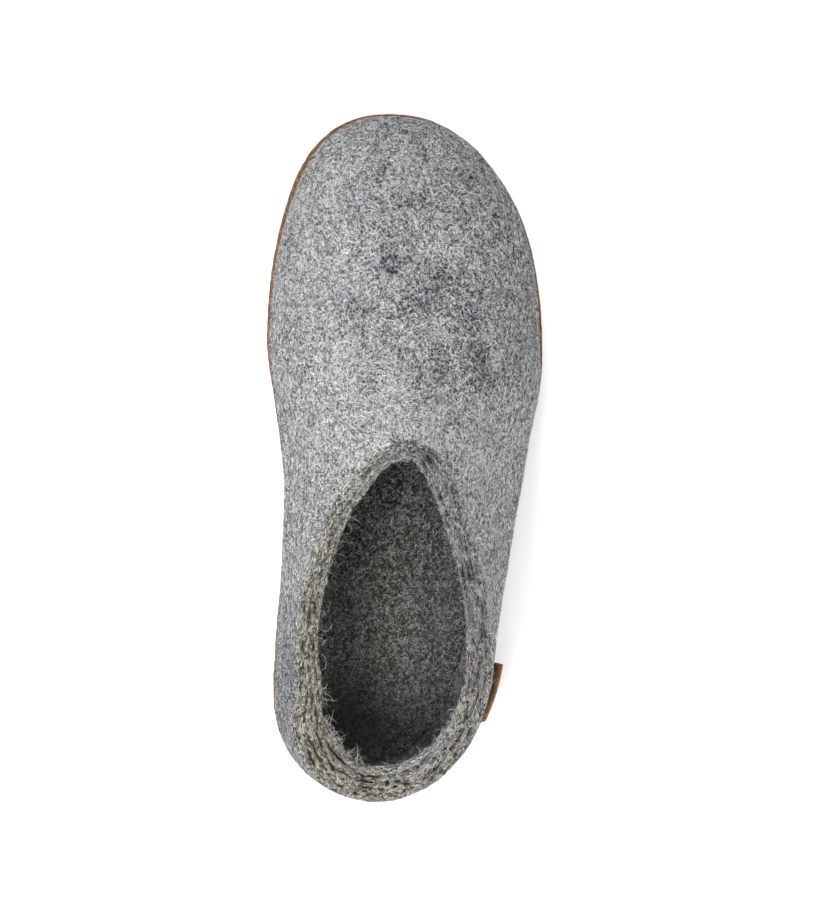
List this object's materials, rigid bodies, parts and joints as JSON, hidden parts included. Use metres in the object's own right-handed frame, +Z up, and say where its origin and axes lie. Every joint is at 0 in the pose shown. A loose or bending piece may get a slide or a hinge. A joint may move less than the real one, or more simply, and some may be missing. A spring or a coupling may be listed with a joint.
{
  "type": "wool mule slipper",
  "caption": "Right-foot felted wool mule slipper: hollow felt upper with open low back, felt insole, thin leather outsole and a folded leather side tab.",
  "frame": {"origin": "on the flat underside of the outsole, halfway along it, on the line that runs forward from the middle of the heel", "axes": "+Y to the toe, +X to the outer (lateral) side of the right foot, +Z up from the ground"},
  "size_m": [0.1087, 0.262, 0.0821],
  "materials": {
    "upper_felt": "thick felted wool, light grey marl, matt and slightly hairy",
    "insole_felt": "felted wool, darker grey, matt",
    "sole_leather": "brown suede leather, cut edge",
    "tab_leather": "brown leather, plain"
  },
  "bodies": {
    "root": {"upper": "upper_felt", "insole": "insole_felt", "outsole": "sole_leather", "side_tab": "tab_leather"}
  },
  "joints": []
}
